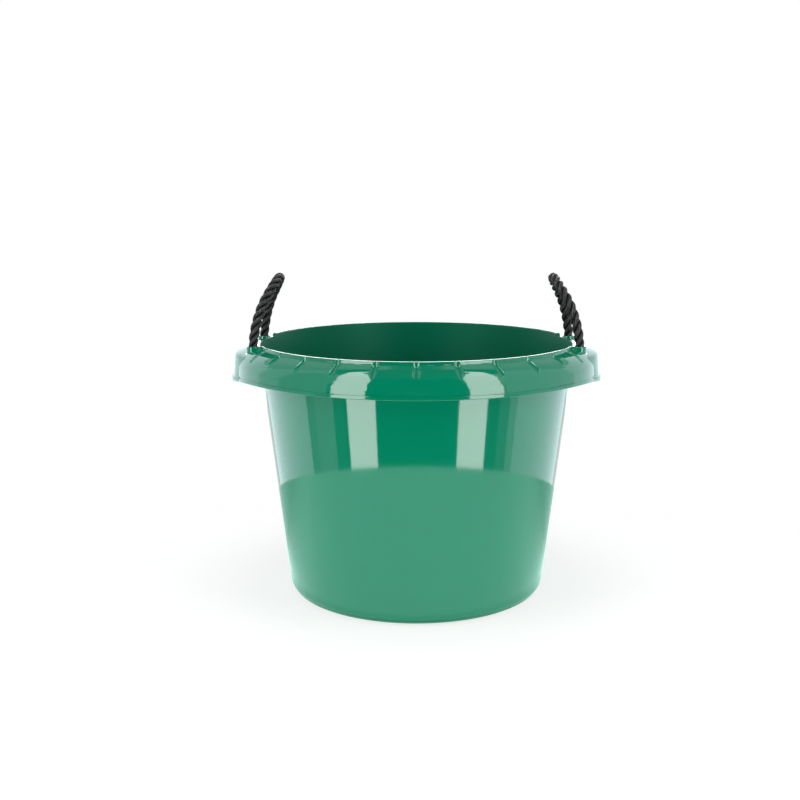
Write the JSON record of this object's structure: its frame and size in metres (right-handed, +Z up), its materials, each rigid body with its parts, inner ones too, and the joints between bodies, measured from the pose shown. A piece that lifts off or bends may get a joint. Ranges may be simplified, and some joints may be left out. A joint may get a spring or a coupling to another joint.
{
  "type": "stable water bucket",
  "caption": "Large round moulded plastic stable bucket with a scooped, skirted rim and twisted rope handles knotted under the rim, for carrying water or feed.",
  "frame": {"origin": "middle of the foot ring, on the ground that the bucket stands on", "axes": "+Z up along the tub's axis, +X towards the right rope handle, -Y towards the front of the picture"},
  "size_m": [0.5374, 0.5196, 0.466],
  "materials": {
    "tub_plastic": "glossy injection-moulded green polyethylene",
    "rope": "black three-strand twisted polypropylene rope"
  },
  "bodies": {
    "tub": {"tub": "tub_plastic", "left_front_knot": "rope", "left_rear_knot": "rope", "right_front_knot": "rope", "right_rear_knot": "rope"},
    "left_handle": {"left_rope_loop": "rope"},
    "right_handle": {"right_rope_loop": "rope"}
  },
  "joints": [
    {"name": "left_handle_swing", "type": "hinge", "parent": "tub", "child": "left_handle", "pos_m": [-0.22901, 0, 0.3748], "axis": [0, 1, 0], "range_deg": [-95, 70]},
    {"name": "right_handle_swing", "type": "hinge", "parent": "tub", "child": "right_handle", "pos_m": [0.22901, 0, 0.3748], "axis": [0, -1, 0], "range_deg": [-95, 70]}
  ]
}
